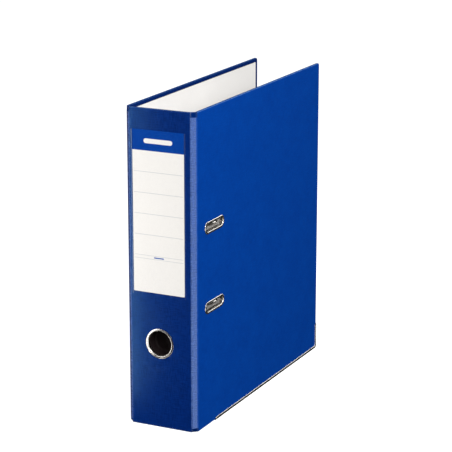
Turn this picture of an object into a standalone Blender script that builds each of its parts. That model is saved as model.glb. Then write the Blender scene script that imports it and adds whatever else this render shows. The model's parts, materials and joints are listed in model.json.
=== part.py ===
"""Lever arch file: a case of five creased panels, its trim and label, and a riveted lever arch mechanism.

X runs from the back cover to the front cover, Y from the spine to the fore-edge, and Z up. The closed
file stands on the steel shoes of its two covers. Lengths are in metres.
"""

import math
from dataclasses import dataclass

import bmesh
import bpy
from mathutils import Vector

# The closed case, measured over its coverings
CASE_THICKNESS = 0.075
CASE_DEPTH = 0.290
CASE_HEIGHT = 0.318
CREASE_SETBACK = 0.0044  # from a case corner to the creases of its hinge strip, along X and along Y
FOLD = math.radians(45)  # between two neighbouring panels of the closed case
CORNER_RADIUS = 0.003

# A panel's layers, from the outside in: covering, board, lining
COVERING = 0.0003
BOARD = 0.0016
LINING = 0.0003
GLUE_GAP = 0.00015
PANEL = COVERING + BOARD + LINING + 2 * GLUE_GAP
TURN_IN = 0.004
FIT_GAP = 0.0003  # between pieces that touch
SEAT_GAP = 0.0002  # between a trim piece and the sheet that it is clamped on

# Steel shoes on the covers' lower edges
SHOE_STEEL = 0.0004
SHOE_LEG = 0.002
SHOE_START = 0.0414  # from the spine
SHOE_RISE = 0.028  # up the fore-edge
SHOE_PROUD = SHOE_STEEL + SEAT_GAP
PANEL_BOTTOM = SHOE_PROUD

# Slots in the front cover, over the tops of the arches
ARCH_SPACING = 0.080
MECHANISM_Z = 0.161
SLOT_Y = 0.0403  # slot centre, from the spine
SLOT_LENGTH = 0.036
SLOT_HEIGHT = 0.007
EYELET_WALL = 0.0005
EYELET_FLANGE = 0.0022
EYELET_SHEET = 0.0006

# Finger hole in the spine
SPINE_TRIM_X = -0.0015  # the ring's and the label's middle lies this far towards the back cover
FINGER_Z = 0.0867
FINGER_OPENING_RADIUS = 0.0124
FINGER_WALL = 0.0005
FINGER_FLANGE_RADIUS = 0.015
FINGER_SHEET = 0.0008
CUP_WALL = 0.001
CUP_DEPTH = 0.013

# Label and its pocket on the spine
CARD_WIDTH = 0.055
CARD_HEIGHT = 0.160
CARD_BOTTOM = 0.1373
CARD_SHEET = 0.00025
FILM_SHEET = 0.0002
FILM_GAP = 0.00015
POCKET_WIDTH = 0.058
POCKET_SEAM = 0.0008
POCKET_LEDGE = 0.0025
NOTCH_RADIUS = 0.0105
NOTCH_HEIGHT = 0.004

# Lever arch mechanism: heights are above the back cover's lining, and Y is from the spine
PLATE_SHEET = 0.001
PLATE_Y = (0.030, 0.080)
PLATE_LENGTH = 0.150
RIVET_Y = (0.033, 0.075)
RIVET_SPREAD = 0.134
RIVET_SHANK = 0.0019
RIVET_HEAD = 0.0042
RIVET_PROUD = EYELET_SHEET + SEAT_GAP
WIRE = 0.002
BAIL_HEIGHT = 0.013
BAIL_Y = 0.040
ARCH_RADIUS = 0.022
ARCH_Y = 0.047
ARCH_SHOULDER = 0.0458  # height at which the legs turn into the half circle
POST_RADIUS = 0.0029
POST_TOP = 0.044
CRANK_HEIGHT = 0.005
CRANK_Y = 0.0525
CRANK_Z = (-0.001, 0.028)  # from the mechanism's middle
WIRE_BEND = 0.003
LUG_SHEET = 0.0012
LUG_Z = (-0.034, -0.008, 0.034)
LEVER_HEIGHT = 0.0149
LEVER_Z = 0.014
LEVER_WIDTH = 0.011
LEVER_SHEET = 0.001
LEVER_LENGTH = 0.051
ROLLER_ARM = 0.005
ROLLER_ANGLE = math.radians(30)
ROLLER_RADIUS = 0.003
ROLLER_PIN = 0.0012
PIVOT_PIN = 0.0015
PIN_CLEARANCE = 0.0003
SPRING_WIRE = 0.0006
SPRING_RADIUS = 0.0034
SPRING_Z = (-0.030, -0.016)
SPRING_TURNS = 6
BAR_Y = (0.063, 0.0754)
BAR_LENGTH = 0.118
BAR_HEIGHT = 0.0023
BAR_SHEET = 0.001
BAR_FLANGE = 0.004

# Places that follow
BACK_X = -CASE_THICKNESS / 2
FRONT_X = CASE_THICKNESS / 2
LABEL_PROUD = 2 * FILM_GAP + CARD_SHEET + FILM_SHEET
FINGER_PROUD = FINGER_SHEET + SEAT_GAP
SPINE_Y = (FINGER_PROUD - SHOE_PROUD - CASE_DEPTH) / 2
FORE_EDGE_Y = SPINE_Y + CASE_DEPTH
LINING_X = BACK_X + PANEL
ARCH_Z = (MECHANISM_Z - ARCH_SPACING / 2, MECHANISM_Z + ARCH_SPACING / 2)
STEPS = 32  # sides of a round piece

for old in list(bpy.data.objects):
    bpy.data.objects.remove(old)


# ---- Materials ----

def material(name, colour, roughness, metallic=0.0, alpha=1.0):
    made = bpy.data.materials.new(name)
    made.use_nodes = True
    shader = made.node_tree.nodes["Principled BSDF"]
    shader.inputs["Base Color"].default_value = (*colour, 1.0)
    shader.inputs["Roughness"].default_value = roughness
    shader.inputs["Metallic"].default_value = metallic
    shader.inputs["Alpha"].default_value = alpha
    return made


BLUE_FILM = material("blue_covering", (0.001, 0.045, 0.30), 0.42)
GREY_BOARD = material("grey_board", (0.36, 0.34, 0.31), 0.9)
WHITE_PAPER = material("white_lining", (0.86, 0.84, 0.81), 0.75)
WHITE_CARD = material("label_card", (0.90, 0.89, 0.86), 0.6)
CLEAR_FILM = material("clear_film", (0.95, 0.97, 1.0), 0.1, alpha=0.25)
NICKEL = material("nickel_steel", (0.70, 0.69, 0.67), 0.22, metallic=1.0)
ZINC = material("zinc_steel", (0.60, 0.59, 0.57), 0.38, metallic=1.0)
SPRING_STEEL = material("spring_steel", (0.35, 0.35, 0.36), 0.35, metallic=1.0)
BLACK_PLASTIC = material("black_plastic", (0.010, 0.007, 0.008), 0.5)


# ---- Outlines ----

def arc(centre, radius, start, end, steps):
    """Points on a circular arc, ends included, with angles in degrees."""
    angles = [math.radians(start + (end - start) * step / steps) for step in range(steps + 1)]
    return [(centre[0] + radius * math.cos(a), centre[1] + radius * math.sin(a)) for a in angles]


def circle(centre, radius, steps=STEPS):
    return arc(centre, radius, 0, 360, steps)[:-1]


def rectangle(low_a, high_a, low_b, high_b):
    return [(low_a, low_b), (high_a, low_b), (high_a, high_b), (low_a, high_b)]


def stadium(centre, length, height):
    """A slot's outline, long along its first axis."""
    reach = (length - height) / 2
    right = arc((centre[0] + reach, centre[1]), height / 2, -90, 90, 12)
    left = arc((centre[0] - reach, centre[1]), height / 2, 90, 270, 12)
    return right + left


def rounded(corners, closed=True, steps=5):
    """A run of straight lines with each corner (point, radius) turned into an arc, in two or three axes."""
    points = []
    for index, (corner, radius) in enumerate(corners):
        corner = Vector(corner)
        is_end = not closed and index in (0, len(corners) - 1)
        if is_end or not radius:
            points.append(corner)
            continue
        before = (Vector(corners[index - 1][0]) - corner).normalized()
        after = (Vector(corners[(index + 1) % len(corners)][0]) - corner).normalized()
        half = before.angle(after) / 2
        centre = corner + (before + after).normalized() * radius / math.sin(half)
        first = corner + before * radius / math.tan(half) - centre
        last = corner + after * radius / math.tan(half) - centre
        sweep = first.angle(last)
        for step in range(steps + 1):
            share = step / steps
            near = math.sin((1 - share) * sweep) / math.sin(sweep)
            far = math.sin(share * sweep) / math.sin(sweep)
            points.append(centre + first * near + last * far)
    return points


def fore_edge_plate(low_run, high_run, low_z, high_z, radius):
    """A cover's outline in run and height, with its two fore-edge corners rounded."""
    return rounded([((low_run, low_z), 0), ((high_run, low_z), radius),
                    ((high_run, high_z), radius), ((low_run, high_z), 0)])


# ---- Solids ----

def finish(name, shape, look, origin=(0, 0, 0), is_round=False):
    """Turns a bmesh in world coordinates into an object whose origin is at the given point."""
    bmesh.ops.recalc_face_normals(shape, faces=shape.faces)
    bmesh.ops.translate(shape, verts=shape.verts, vec=-Vector(origin))
    mesh = bpy.data.meshes.new(name)
    shape.to_mesh(mesh)
    shape.free()
    if is_round:
        mesh.shade_smooth()
        mesh.set_sharp_from_angle(angle=math.radians(35))
    made = bpy.data.objects.new(name, mesh)
    made.location = origin
    bpy.context.scene.collection.objects.link(made)
    if look:
        mesh.materials.append(look)
    return made


def loft(shape, low_ring, high_ring):
    """Joins two rings of points into a closed solid with flat ends."""
    low = [shape.verts.new(point) for point in low_ring]
    high = [shape.verts.new(point) for point in high_ring]
    shape.faces.new(low)
    shape.faces.new(high)
    for index, vert in enumerate(low):
        following = (index + 1) % len(low)
        shape.faces.new((vert, low[following], high[following], high[index]))


def prism(name, look, plane, outline, low, high, origin=(0, 0, 0)):
    """An outline in a plane such as "yz", extruded along the third axis from low to high."""
    first, second = ("xyz".index(letter) for letter in plane)
    third = 3 - first - second

    def ring(level):
        points = []
        for point in outline:
            place = Vector((0, 0, 0))
            place[first], place[second], place[third] = point[0], point[1], level
            points.append(place)
        return points

    shape = bmesh.new()
    loft(shape, ring(low), ring(high))
    return finish(name, shape, look, origin)


def turned(name, look, axis, centre, profile, steps=STEPS):
    """A profile of (radius, height along the axis) points, turned about an axis through the centre."""
    along = Vector([1.0 if letter == axis else 0.0 for letter in "xyz"])
    across = Vector([1.0 if letter == ("y" if axis == "x" else "x") else 0.0 for letter in "xyz"])
    shape = bmesh.new()
    points = [Vector(centre) + across * radius + along * height for radius, height in profile]
    verts = [shape.verts.new(point) for point in points]
    edges = [shape.edges.new(pair) for pair in zip(verts, verts[1:])]
    bmesh.ops.spin(shape, geom=verts + edges, cent=centre, axis=along, angle=math.tau,
                   steps=steps, use_merge=True)
    bmesh.ops.remove_doubles(shape, verts=shape.verts, dist=1e-7)
    return finish(name, shape, look, centre, is_round=True)


def tube(name, look, route, radius, origin=(0, 0, 0), resolution=4):
    """Round wire along a route of points."""
    curve = bpy.data.curves.new(name, "CURVE")
    curve.dimensions = "3D"
    curve.bevel_depth = radius
    curve.bevel_resolution = resolution
    curve.use_fill_caps = True
    spline = curve.splines.new("POLY")
    spline.points.add(len(route) - 1)
    for point, place in zip(spline.points, route):
        point.co = (*(Vector(place) - Vector(origin)), 1.0)
    spline.use_smooth = True
    curve.materials.append(look)
    made = bpy.data.objects.new(name, curve)
    made.location = origin
    bpy.context.scene.collection.objects.link(made)
    return made


def cutter(made):
    made.hide_render = True
    made.display_type = "WIRE"
    return made


def combine(target, operation, tools):
    for tool in tools:
        step = target.modifiers.new(tool.name, "BOOLEAN")
        step.operation = operation
        step.solver = "EXACT"
        step.object = cutter(tool)
    return target


def cut(target, *tools):
    return combine(target, "DIFFERENCE", tools)


def join(target, *tools):
    return combine(target, "UNION", tools)


# ---- Case panels ----

@dataclass
class Panel:
    """A flat panel of the closed case. It runs from a crease on its outer face, and depth goes inwards."""

    name: str
    crease: Vector
    run: Vector
    inward: Vector
    length: float
    is_cover: bool

    def place(self, run, depth, z):
        setback = FIT_GAP / 2 / math.cos(FOLD / 2) + depth * math.tan(FOLD / 2)
        if math.isclose(run, 0, abs_tol=1e-9):
            run = setback
        elif not self.is_cover and math.isclose(run, self.length, abs_tol=1e-9):
            run = self.length - setback
        flat = self.crease + self.run * run + self.inward * depth
        return Vector((flat.x, flat.y, z))

    def outline(self, inset):
        """The panel's outline in run and height, drawn in by the inset on its free edges."""
        low, high = PANEL_BOTTOM + inset, CASE_HEIGHT - inset
        if not self.is_cover:
            return rectangle(0, self.length, low, high)
        radius = max(CORNER_RADIUS - inset, 0.0005)
        return fore_edge_plate(0, self.length - inset, low, high, radius)

    def clearing(self, inset):
        """The same outline, run out past the creases, for a cut."""
        past = 0.005
        low, high = PANEL_BOTTOM + inset, CASE_HEIGHT - inset
        if not self.is_cover:
            return rectangle(-past, self.length + past, low, high)
        radius = max(CORNER_RADIUS - inset, 0.0005)
        return fore_edge_plate(-past, self.length - inset, low, high, radius)

    def layer(self, name, look, outline, low_depth, high_depth):
        shape = bmesh.new()
        rings = [[self.place(run, depth, z) for run, z in outline] for depth in (low_depth, high_depth)]
        loft(shape, *rings)
        return finish(f"{self.name}_{name}", shape, look, (self.crease.x, self.crease.y, 0))


def case_panels():
    """The five panels, from the back cover round to the front cover."""
    corner = CREASE_SETBACK
    slant = math.sqrt(0.5)
    cover_length = CASE_DEPTH - corner
    return {
        "back_cover": Panel("back_cover", Vector((BACK_X, SPINE_Y + corner)), Vector((0, 1)),
                            Vector((1, 0)), cover_length, True),
        "back_hinge": Panel("back_hinge", Vector((BACK_X, SPINE_Y + corner)), Vector((slant, -slant)),
                            Vector((slant, slant)), corner / slant, False),
        "spine": Panel("spine", Vector((BACK_X + corner, SPINE_Y)), Vector((1, 0)),
                       Vector((0, 1)), CASE_THICKNESS - 2 * corner, False),
        "front_hinge": Panel("front_hinge", Vector((FRONT_X - corner, SPINE_Y)), Vector((slant, slant)),
                             Vector((-slant, slant)), corner / slant, False),
        "front_cover": Panel("front_cover", Vector((FRONT_X, SPINE_Y + corner)), Vector((0, 1)),
                             Vector((-1, 0)), cover_length, True),
    }


def make_panel(panel, openings):
    """Covering turned in round the free edges, the board inside it, and the lining within the turn-in."""
    lining_depth = PANEL - LINING
    covering = panel.layer("covering", BLUE_FILM, panel.outline(0), 0, PANEL)
    hollow = panel.layer("covering_hollow", None, panel.clearing(COVERING), COVERING, lining_depth)
    window = panel.layer("covering_window", None, panel.clearing(COVERING + TURN_IN),
                         lining_depth - LINING, PANEL + LINING)
    cut(covering, hollow, window, *openings)
    board = panel.layer("board", GREY_BOARD, panel.outline(COVERING + GLUE_GAP),
                        COVERING + GLUE_GAP, COVERING + GLUE_GAP + BOARD)
    cut(board, *openings)
    lining = panel.layer("lining", WHITE_PAPER, panel.outline(COVERING + TURN_IN + GLUE_GAP),
                         lining_depth, PANEL)
    cut(lining, *openings)


# ---- Trim ----

def make_shoe(name, cover_low, cover_high):
    """A steel channel round a cover's lower edge, its fore-edge corner and the foot of its fore-edge."""
    start = SPINE_Y + SHOE_START
    past = 0.005
    proud = SHOE_PROUD
    inner_radius = CORNER_RADIUS + SEAT_GAP
    leg_edge = SHOE_LEG + PANEL_BOTTOM
    outer = rounded([((start, 0), 0), ((FORE_EDGE_Y + proud, 0), CORNER_RADIUS + proud),
                     ((FORE_EDGE_Y + proud, SHOE_RISE), 0), ((start, SHOE_RISE), 0)])
    hollow = rounded([((start - past, SHOE_STEEL), 0), ((FORE_EDGE_Y + SEAT_GAP, SHOE_STEEL), inner_radius),
                      ((FORE_EDGE_Y + SEAT_GAP, SHOE_RISE + past), 0), ((start - past, SHOE_RISE + past), 0)])
    window = rounded([((start - past, leg_edge), 0), ((FORE_EDGE_Y - SHOE_LEG, leg_edge), SHOE_LEG),
                      ((FORE_EDGE_Y - SHOE_LEG, SHOE_RISE + past), 0), ((start - past, SHOE_RISE + past), 0)])
    shoe = prism(name, NICKEL, "yz", outer, cover_low - proud, cover_high + proud)
    cut(shoe,
        prism(f"{name}_hollow", None, "yz", hollow, cover_low - SEAT_GAP, cover_high + SEAT_GAP),
        prism(f"{name}_window", None, "yz", window, cover_low - past, cover_high + past))


def make_eyelet(name, z):
    """A pressed ring round a slot: a flange outside with a barrel through the cover, and a flange inside."""
    centre = (SPINE_Y + SLOT_Y, z)
    barrel = 2 * EYELET_WALL
    flange = 2 * EYELET_FLANGE
    inner_face = FRONT_X - PANEL - SEAT_GAP - EYELET_SHEET
    opening = stadium(centre, SLOT_LENGTH, SLOT_HEIGHT)
    wall = stadium(centre, SLOT_LENGTH + barrel, SLOT_HEIGHT + barrel)
    seat = stadium(centre, SLOT_LENGTH + barrel + 2 * FIT_GAP, SLOT_HEIGHT + barrel + 2 * FIT_GAP)
    edge = stadium(centre, SLOT_LENGTH + barrel + flange, SLOT_HEIGHT + barrel + flange)
    past = 0.002
    seat_face = FRONT_X + SEAT_GAP
    outer = prism(f"{name}_outer_ring", NICKEL, "yz", edge, seat_face, seat_face + EYELET_SHEET)
    join(outer, prism(f"{name}_barrel", None, "yz", wall, inner_face, seat_face + EYELET_SHEET / 2))
    cut(outer, prism(f"{name}_opening", None, "yz", opening, inner_face - past, FRONT_X + past))
    inner = prism(f"{name}_inner_ring", NICKEL, "yz", edge, inner_face, inner_face + EYELET_SHEET)
    cut(inner, prism(f"{name}_seat", None, "yz", seat, inner_face - past, inner_face + past))


def slot_cutter(name, z):
    """The slot through a cover's layers, a fit gap wider than the eyelet's barrel."""
    grow = 2 * EYELET_WALL + 2 * FIT_GAP
    outline = stadium((SPINE_Y + SLOT_Y, z), SLOT_LENGTH + grow, SLOT_HEIGHT + grow)
    return prism(name, None, "yz", outline, FRONT_X - 2 * PANEL, FRONT_X + PANEL)


def make_finger_hole():
    """A steel ring on the spine, its barrel through the board, and a plastic cup that it clamps inside."""
    centre = (SPINE_TRIM_X, SPINE_Y, FINGER_Z)
    opening = FINGER_OPENING_RADIUS
    wall = opening + FINGER_WALL
    rim = FINGER_FLANGE_RADIUS
    face = -FINGER_PROUD
    turned("finger_ring", NICKEL, "y", centre, [
        (opening, PANEL), (opening, face + 0.0003), (opening + 0.0004, face), (rim - 0.0008, face),
        (rim, face + 0.0005), (rim, -SEAT_GAP), (wall, -SEAT_GAP), (wall, PANEL), (opening, PANEL)])
    bore = wall + FIT_GAP
    seat = PANEL + SEAT_GAP
    bottom = seat + CUP_DEPTH
    turned("finger_cup", BLACK_PLASTIC, "y", centre, [
        (0, bottom - CUP_WALL), (bore, bottom - CUP_WALL), (bore, seat), (bore + 2.5 * CUP_WALL, seat),
        (bore + 2.5 * CUP_WALL, seat + CUP_WALL), (bore + CUP_WALL, seat + CUP_WALL),
        (bore + CUP_WALL, bottom), (0, bottom)])


def make_label():
    """A clear pocket, welded to the covering at its sides and foot, and the card that slides up out of it."""
    film_face = SPINE_Y - LABEL_PROUD
    film_back = film_face + FILM_SHEET
    weld_face = SPINE_Y - FILM_GAP
    left, right = SPINE_TRIM_X - POCKET_WIDTH / 2, SPINE_TRIM_X + POCKET_WIDTH / 2
    past = 0.001
    foot = CARD_BOTTOM - FIT_GAP - POCKET_LEDGE
    top = CARD_BOTTOM + CARD_HEIGHT
    pocket = prism("label_pocket", CLEAR_FILM, "xz", rectangle(left, right, foot, top), film_face, weld_face)
    inside = rectangle(left + POCKET_SEAM, right - POCKET_SEAM, foot + POCKET_LEDGE, top + past)
    notch = circle((SPINE_TRIM_X, foot + NOTCH_HEIGHT - NOTCH_RADIUS), NOTCH_RADIUS)
    cut(pocket,
        prism("pocket_inside", None, "xz", inside, film_back, weld_face + past),
        prism("pocket_notch", None, "xz", notch, film_face - past, weld_face + past))
    card = rectangle(SPINE_TRIM_X - CARD_WIDTH / 2, SPINE_TRIM_X + CARD_WIDTH / 2, CARD_BOTTOM, top)
    back = SPINE_Y - FILM_GAP
    origin = (SPINE_TRIM_X, SPINE_Y, CARD_BOTTOM)
    prism("label_card", WHITE_CARD, "xz", card, back - CARD_SHEET, back, origin)


# ---- Mechanism ----

def on_cover(height, y, z):
    """A point of the mechanism in world coordinates."""
    return Vector((LINING_X + height, SPINE_Y + y, z))


PLATE_FACE = FIT_GAP + PLATE_SHEET  # height of the base plate's upper face


def rivet_places():
    for row, y in (("spine_side", RIVET_Y[0]), ("open_side", RIVET_Y[1])):
        for level, z in (("lower", -RIVET_SPREAD / 2), ("upper", RIVET_SPREAD / 2)):
            yield f"rivet_{row}_{level}", y, MECHANISM_Z + z


def make_rivets():
    foot = -PANEL - RIVET_PROUD
    seat = -PANEL - SEAT_GAP
    grip = PLATE_FACE + SEAT_GAP
    for name, y, z in rivet_places():
        turned(name, NICKEL, "x", on_cover(0, y, z), [
            (0, foot), (RIVET_HEAD - 0.0008, foot), (RIVET_HEAD, foot + 0.0004), (RIVET_HEAD, seat),
            (RIVET_SHANK, seat), (RIVET_SHANK, grip), (RIVET_HEAD - 0.0006, grip),
            (RIVET_HEAD - 0.0008, grip + 0.0004), (RIVET_HEAD - 0.0014, grip + 0.0007), (0, grip + 0.0007)],
            steps=20)


def rivet_holes():
    """Cutters for the rivets' holes through the cover's layers and the base plate."""
    radius = RIVET_SHANK + FIT_GAP
    low, high = BACK_X - PANEL, LINING_X + 2 * PLATE_FACE
    return [prism(f"{name}_hole", None, "yz", circle((SPINE_Y + y, z), radius, 20), low, high)
            for name, y, z in rivet_places()]


def make_base_plate(holes):
    """The plate, with lugs folded up for the bail and the lever, and holes for rivets, posts and pins."""
    low_y, high_y = (SPINE_Y + y for y in PLATE_Y)
    low_z, high_z = MECHANISM_Z - PLATE_LENGTH / 2, MECHANISM_Z + PLATE_LENGTH / 2
    corner = 0.005
    outline = rounded([((low_y, low_z), corner), ((high_y, low_z), corner),
                       ((high_y, high_z), corner), ((low_y, high_z), corner)])
    plate = prism("base_plate", ZINC, "yz", outline, LINING_X + FIT_GAP, LINING_X + PLATE_FACE)

    root = LINING_X + FIT_GAP + PLATE_SHEET / 4
    bail = on_cover(BAIL_HEIGHT, BAIL_Y, 0)
    shoulder = WIRE + 0.0022
    spread = 0.0065
    bail_lug = rounded([((root, bail.y - spread), 0),
                        ((bail.x + shoulder, bail.y - shoulder), shoulder - 0.0002),
                        ((bail.x + shoulder, bail.y + shoulder), shoulder - 0.0002),
                        ((root, bail.y + spread), 0)])
    for number, middle in enumerate(LUG_Z, start=1):
        z = MECHANISM_Z + middle
        join(plate, prism(f"bail_lug_{number}", None, "xy", bail_lug, z - LUG_SHEET / 2, z + LUG_SHEET / 2))

    lever = on_cover(LEVER_HEIGHT, 0, MECHANISM_Z + LEVER_Z)
    shoulder = 0.004
    spread = 0.0065
    lever_lug = rounded([((root, lever.z - spread), 0),
                         ((lever.x + shoulder, lever.z - shoulder), shoulder - 0.0002),
                         ((lever.x + shoulder, lever.z + shoulder), shoulder - 0.0002),
                         ((root, lever.z + spread), 0)])
    for side, inner_y in lever_lug_faces():
        outer_y = inner_y + side * LEVER_SHEET
        join(plate, prism(f"lever_lug_{side:+d}", None, "xz", lever_lug, *sorted((inner_y, outer_y))))

    bail_hole = circle((bail.x, bail.y), WIRE + PIN_CLEARANCE, 24)
    pin_hole = circle((lever.x, lever.z), PIVOT_PIN + PIN_CLEARANCE, 24)
    cut(plate, *holes,
        prism("bail_hole", None, "xy", bail_hole, ARCH_Z[0], ARCH_Z[1]),
        prism("pin_hole", None, "xz", pin_hole, *pin_reach(0.002)))
    spigot = PIVOT_PIN + PIN_CLEARANCE
    for level, z in zip(("lower", "upper"), ARCH_Z):
        hole = circle((SPINE_Y + post_y(), z), spigot, 24)
        cut(plate, prism(f"post_hole_{level}", None, "yz", hole, LINING_X, LINING_X + 2 * PLATE_FACE))


def post_y():
    return ARCH_Y + ARCH_RADIUS


def lever_faces():
    """World Y of the lever's two outer faces."""
    middle = SPINE_Y + CRANK_Y + 0.0005
    return middle - LEVER_WIDTH / 2, middle + LEVER_WIDTH / 2


def lever_lug_faces():
    """For each lever lug, which way it faces out and the world Y of its inner face."""
    low, high = lever_faces()
    return (-1, low - FIT_GAP), (1, high + FIT_GAP)


def pin_reach(past):
    """World Y of the ends of the lever pin's shank, run out by the given length."""
    low, high = lever_faces()
    reach = 2 * FIT_GAP + LEVER_SHEET + past
    return low - reach, high + reach


def make_posts():
    """Fixed posts, each with a spigot set into the base plate and a countersunk top for the arch's tip."""
    seat = PLATE_FACE + FIT_GAP
    for level, z in zip(("lower", "upper"), ARCH_Z):
        turned(f"post_{level}", NICKEL, "x", on_cover(0, post_y(), z), [
            (0, FIT_GAP + 0.0001), (PIVOT_PIN, FIT_GAP + 0.0001), (PIVOT_PIN, seat), (POST_RADIUS, seat),
            (POST_RADIUS, POST_TOP - 0.0008), (POST_RADIUS - 0.0006, POST_TOP), (0.0012, POST_TOP),
            (0, POST_TOP - 0.0012)], steps=24)


def make_bail():
    """Both arches in one bent wire: straight stretches turn in the lugs, and the roller holds its crank."""
    top = ARCH_SHOULDER + ARCH_RADIUS
    tip = POST_TOP + FIT_GAP
    near, far = ARCH_Y - ARCH_RADIUS, ARCH_Y + ARCH_RADIUS
    low_arch, high_arch = ARCH_Z
    low_crank, high_crank = (MECHANISM_Z + z for z in CRANK_Z)
    corners = [
        (on_cover(tip, far, high_arch), 0),
        (on_cover(top, far, high_arch), ARCH_RADIUS),
        (on_cover(top, near, high_arch), ARCH_RADIUS),
        (on_cover(BAIL_HEIGHT, near, high_arch), WIRE_BEND),
        (on_cover(BAIL_HEIGHT, BAIL_Y, high_arch), WIRE_BEND),
        (on_cover(BAIL_HEIGHT, BAIL_Y, high_crank), WIRE_BEND),
        (on_cover(CRANK_HEIGHT, CRANK_Y, high_crank), WIRE_BEND),
        (on_cover(CRANK_HEIGHT, CRANK_Y, low_crank), WIRE_BEND),
        (on_cover(BAIL_HEIGHT, BAIL_Y, low_crank), WIRE_BEND),
        (on_cover(BAIL_HEIGHT, BAIL_Y, low_arch), WIRE_BEND),
        (on_cover(BAIL_HEIGHT, near, low_arch), WIRE_BEND),
        (on_cover(top, near, low_arch), ARCH_RADIUS),
        (on_cover(top, far, low_arch), ARCH_RADIUS),
        (on_cover(tip, far, low_arch), 0),
    ]
    route = []
    for point in rounded(corners, closed=False, steps=8):
        if not route or (point - route[-1]).length > 1e-6:
            route.append(point)
    tube("arch_bail", NICKEL, route, WIRE, on_cover(BAIL_HEIGHT, BAIL_Y, MECHANISM_Z))


def make_lever():
    """A folded steel channel on the pivot pin, with lobes that carry the roller, and a flat thumb pad."""
    pivot = on_cover(LEVER_HEIGHT, 0, MECHANISM_Z + LEVER_Z)
    low_y, high_y = lever_faces()
    roof = 0.0046
    under = roof - 0.0012
    end = -LEVER_LENGTH
    past = 0.012

    def at(corners):
        return [((pivot.x + height, pivot.z + along), radius) for (height, along), radius in corners]

    side = rounded(at([
        ((roof, -0.0035), 0.0008), ((roof, end + 0.006), 0.0003), ((under, end + 0.006), 0.0003),
        ((0.0005, end + 0.010), 0.003), ((-0.0034, end + 0.018), 0.006), ((-0.0034, -0.010), 0.002),
        ((-0.0068, -0.0055), 0.0022), ((-0.0068, 0.0002), 0.0022), ((-0.0030, 0.0040), 0.002),
        ((0.0034, 0.0040), 0.0025)]), steps=4)
    lever = prism("lever", NICKEL, "xz", side, low_y, high_y, (pivot.x, (low_y + high_y) / 2, pivot.z))
    hollow = [(pivot.x + height, pivot.z + along) for height, along in (
        (-past, 2 * end), (under, 2 * end), (under, -0.0045), (past, -0.0045), (past, past), (-past, past))]
    pad_end = pivot.z + end
    pad_start = pad_end + 0.018
    middle = (low_y + high_y) / 2
    pad_half = LEVER_WIDTH / 2 + 0.0022
    pad = rounded([((middle - pad_half, pad_end), 0.005), ((middle + pad_half, pad_end), 0.005),
                   ((middle + pad_half - 0.0015, pad_start), 0.004),
                   ((middle - pad_half + 0.0015, pad_start), 0.004)])
    cut(lever, prism("lever_hollow", None, "xz", hollow, low_y + LEVER_SHEET, high_y - LEVER_SHEET))
    join(lever, prism("lever_pad", None, "yz", pad, pivot.x + under + 0.0001, pivot.x + roof - 0.0001))
    pin_hole = circle((pivot.x, pivot.z), PIVOT_PIN + PIN_CLEARANCE, 24)
    roller_hole = circle(roller_centre(), ROLLER_PIN + PIN_CLEARANCE, 20)
    cut(lever,
        prism("lever_pin_hole", None, "xz", pin_hole, *pin_reach(0.001)),
        prism("roller_pin_hole", None, "xz", roller_hole, *pin_reach(0.001)))


def roller_centre():
    """World X and Z of the roller's axis in the closed mechanism."""
    pivot = on_cover(LEVER_HEIGHT, 0, MECHANISM_Z + LEVER_Z)
    return (pivot.x - ROLLER_ARM * math.cos(ROLLER_ANGLE), pivot.z - ROLLER_ARM * math.sin(ROLLER_ANGLE))


def make_pins_and_roller():
    pivot = on_cover(LEVER_HEIGHT, 0, MECHANISM_Z + LEVER_Z)
    low_y, high_y = lever_faces()
    middle = (low_y + high_y) / 2
    reach = pin_reach(0.0004)[1] - middle
    head = 0.0008
    turned("lever_pivot_pin", NICKEL, "y", (pivot.x, middle, pivot.z), [
        (0, -reach - head), (PIVOT_PIN + 0.0006, -reach - head), (PIVOT_PIN + 0.001, -reach),
        (PIVOT_PIN, -reach), (PIVOT_PIN, reach), (PIVOT_PIN + 0.001, reach),
        (PIVOT_PIN + 0.0006, reach + head), (0, reach + head)], steps=24)
    x, z = roller_centre()
    bore = ROLLER_PIN + PIN_CLEARANCE
    half = LEVER_WIDTH / 2 - LEVER_SHEET - 0.0005
    turned("roller", ZINC, "y", (x, middle, z), [
        (bore, -half), (ROLLER_RADIUS - 0.0003, -half), (ROLLER_RADIUS, -half + 0.0003),
        (ROLLER_RADIUS, half - 0.0003), (ROLLER_RADIUS - 0.0003, half), (bore, half), (bore, -half)])
    end = LEVER_WIDTH / 2 - 0.0001
    turned("roller_pin", NICKEL, "y", (x, middle, z), [
        (0, -end), (ROLLER_PIN, -end), (ROLLER_PIN, end), (0, end)], steps=20)


def make_spring():
    """A torsion spring round the bail's lower stretch, one leg against the base plate."""
    low, high = (MECHANISM_Z + z for z in SPRING_Z)
    axis = on_cover(BAIL_HEIGHT, BAIL_Y, 0)
    sides = 14
    turns = SPRING_TURNS * sides
    coil = []
    for step in range(turns + 1):
        angle = math.tau * step / sides
        z = low + (high - low) * step / turns
        coil.append(axis + Vector((SPRING_RADIUS * math.cos(angle), SPRING_RADIUS * math.sin(angle), z)))
    plate_end = on_cover(PLATE_FACE + FIT_GAP + SPRING_WIRE, BAIL_Y + SPRING_RADIUS, low)
    plate_leg = [Vector((plate_end.x, coil[0].y - 0.0008, low)), Vector((coil[0].x, coil[0].y - 0.0008, low))]
    crank_leg = coil[-1] + Vector((-0.0006, 0.0045, 0))
    tube("bail_spring", SPRING_STEEL, plate_leg[1:] + coil + [crank_leg], SPRING_WIRE, resolution=2)


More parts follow.
